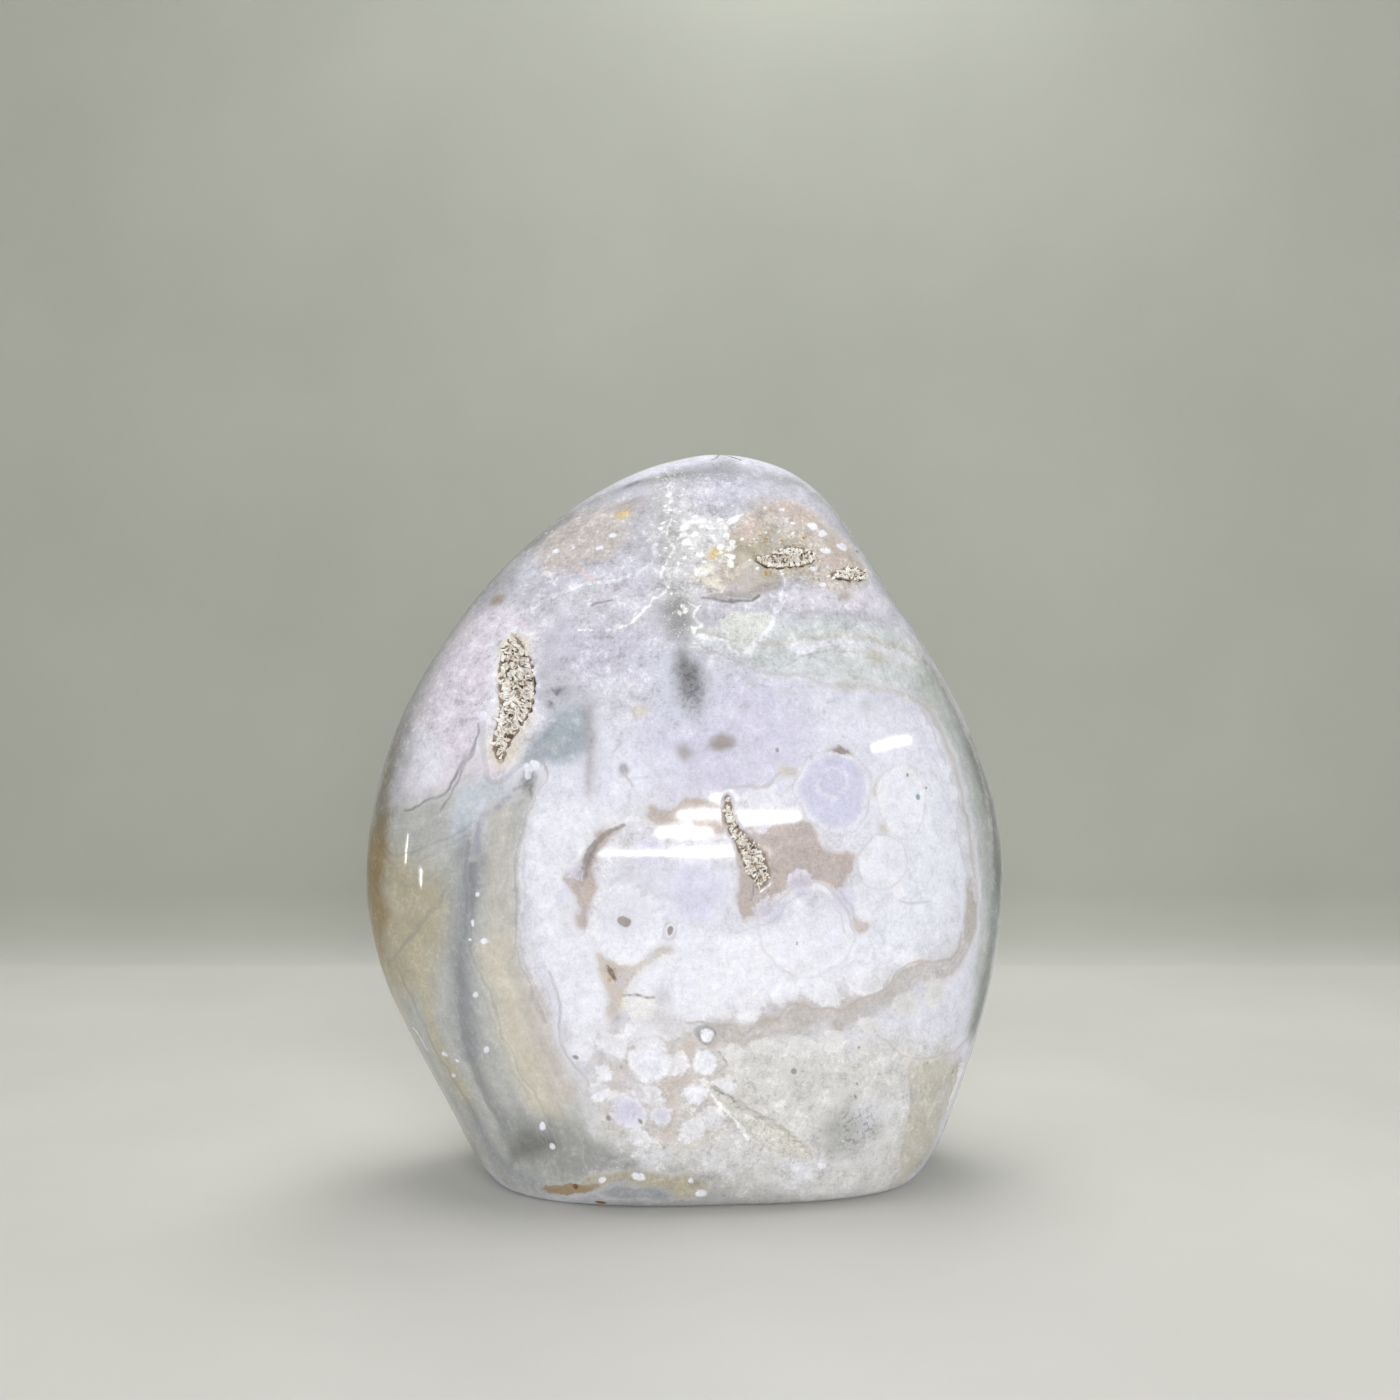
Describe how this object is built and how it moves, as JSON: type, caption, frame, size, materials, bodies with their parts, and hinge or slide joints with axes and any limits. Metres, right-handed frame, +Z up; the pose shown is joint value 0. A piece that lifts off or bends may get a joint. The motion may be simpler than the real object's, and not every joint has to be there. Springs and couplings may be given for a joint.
{
  "type": "flower agate freeform",
  "caption": "Upright egg-shaped polished flower agate stone with a flat foot, quartz-lined hollows and a gouge in its front.",
  "frame": {"origin": "on the flat foot, below the middle of the stone's box", "axes": "+Z up the stone to its crest, +Y to its back, +X to the right seen from the front"},
  "size_m": [0.0886, 0.046, 0.1007],
  "materials": {
    "polished_agate": "high polish, pale lilac-white with grey, tan and pink-brown chalcedony",
    "quartz_druse": "small sparkling champagne quartz points"
  },
  "bodies": {
    "root": {"stone": "polished_agate", "druse_left": "quartz_druse", "druse_centre": "quartz_druse", "druse_crest": "quartz_druse", "druse_shoulder": "quartz_druse"}
  },
  "joints": []
}
